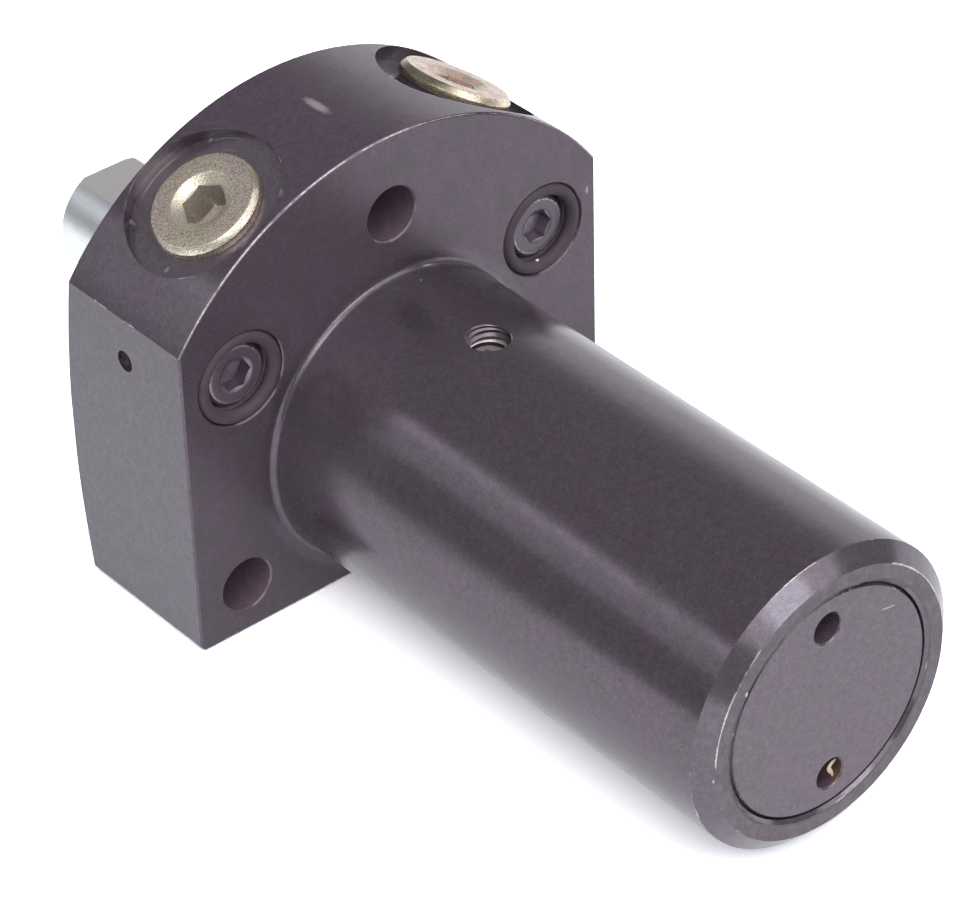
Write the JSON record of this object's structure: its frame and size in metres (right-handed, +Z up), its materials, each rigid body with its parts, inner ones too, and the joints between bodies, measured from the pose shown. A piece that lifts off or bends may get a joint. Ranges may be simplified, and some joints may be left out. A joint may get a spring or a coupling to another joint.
{
  "type": "hydraulic pull cylinder",
  "caption": "Double-acting hydraulic pull cylinder: round barrel below a flat-sided flange, plugged pipe ports, O-ring manifold ports and a plunger with wrench flats.",
  "frame": {"origin": "on the cylinder's axis, in the plane of the flange's seating face", "axes": "+Y along the axis towards the plunger's tip, -Y along the barrel to the end cap, +Z up away from the flange's bottom flat, X across the two side flats"},
  "size_m": [0.098, 0.207, 0.092],
  "materials": {
    "blackened_steel": "black oxide on turned and milled steel, oiled, edges worn bright",
    "blackened_cap": "black oxide on faced steel",
    "machined_iron": "fine turned",
    "piston_steel": "fine turned",
    "screw_steel": "black oxide",
    "hard_chrome": "ground and hard chromed",
    "yellow_zinc": "zinc plated, yellow passivated, dulled",
    "seal_rubber": "black nitrile rubber, oily",
    "wiper_rubber": "black nitrile rubber",
    "lip_seal": "cast polyurethane",
    "white_backup": "fluoropolymer, smooth",
    "slide_plastic": "bronze-filled fluoropolymer",
    "guide_fabric": "phenolic fabric strip",
    "copper_washer": "soft copper",
    "sleeve_steel": "case-hardened, grooved",
    "ball_steel": "hardened ball, polished"
  },
  "bodies": {
    "cylinder": {"body": "blackened_steel", "end_cap": "blackened_cap", "cap_o_ring": "seal_rubber", "cap_backup_ring": "white_backup", "gland": "machined_iron", "gland_o_ring": "seal_rubber", "gland_backup_ring": "white_backup", "gland_lock_screw": "screw_steel", "rod_seal": "lip_seal", "gland_guide_ring": "guide_fabric", "nose_guide_ring": "guide_fabric", "wiper": "wiper_rubber", "left_port_plug": "yellow_zinc", "right_port_plug": "yellow_zinc", "left_plug_seal": "seal_rubber", "right_plug_seal": "seal_rubber", "left_manifold_screw": "screw_steel", "right_manifold_screw": "screw_steel", "left_manifold_washer": "copper_washer", "right_manifold_washer": "copper_washer", "left_manifold_o_ring": "seal_rubber", "right_manifold_o_ring": "seal_rubber", "left_gallery_sleeve": "sleeve_steel", "right_gallery_sleeve": "sleeve_steel", "left_gallery_ball": "ball_steel", "right_gallery_ball": "ball_steel", "left_back_sleeve": "sleeve_steel", "right_back_sleeve": "sleeve_steel", "left_back_ball": "ball_steel", "right_back_ball": "ball_steel"},
    "plunger_set": {"plunger": "hard_chrome", "piston": "piston_steel", "piston_slide_ring": "slide_plastic", "piston_spring_ring": "seal_rubber", "front_piston_guide_ring": "guide_fabric", "back_piston_guide_ring": "guide_fabric", "neck_o_ring": "seal_rubber", "piston_nut": "screw_steel", "nut_lock_screw": "screw_steel"}
  },
  "joints": [
    {"name": "plunger_pull", "type": "slide", "parent": "cylinder", "child": "plunger_set", "axis": [0, -1, 0], "range_m": [0, 0.03]}
  ]
}
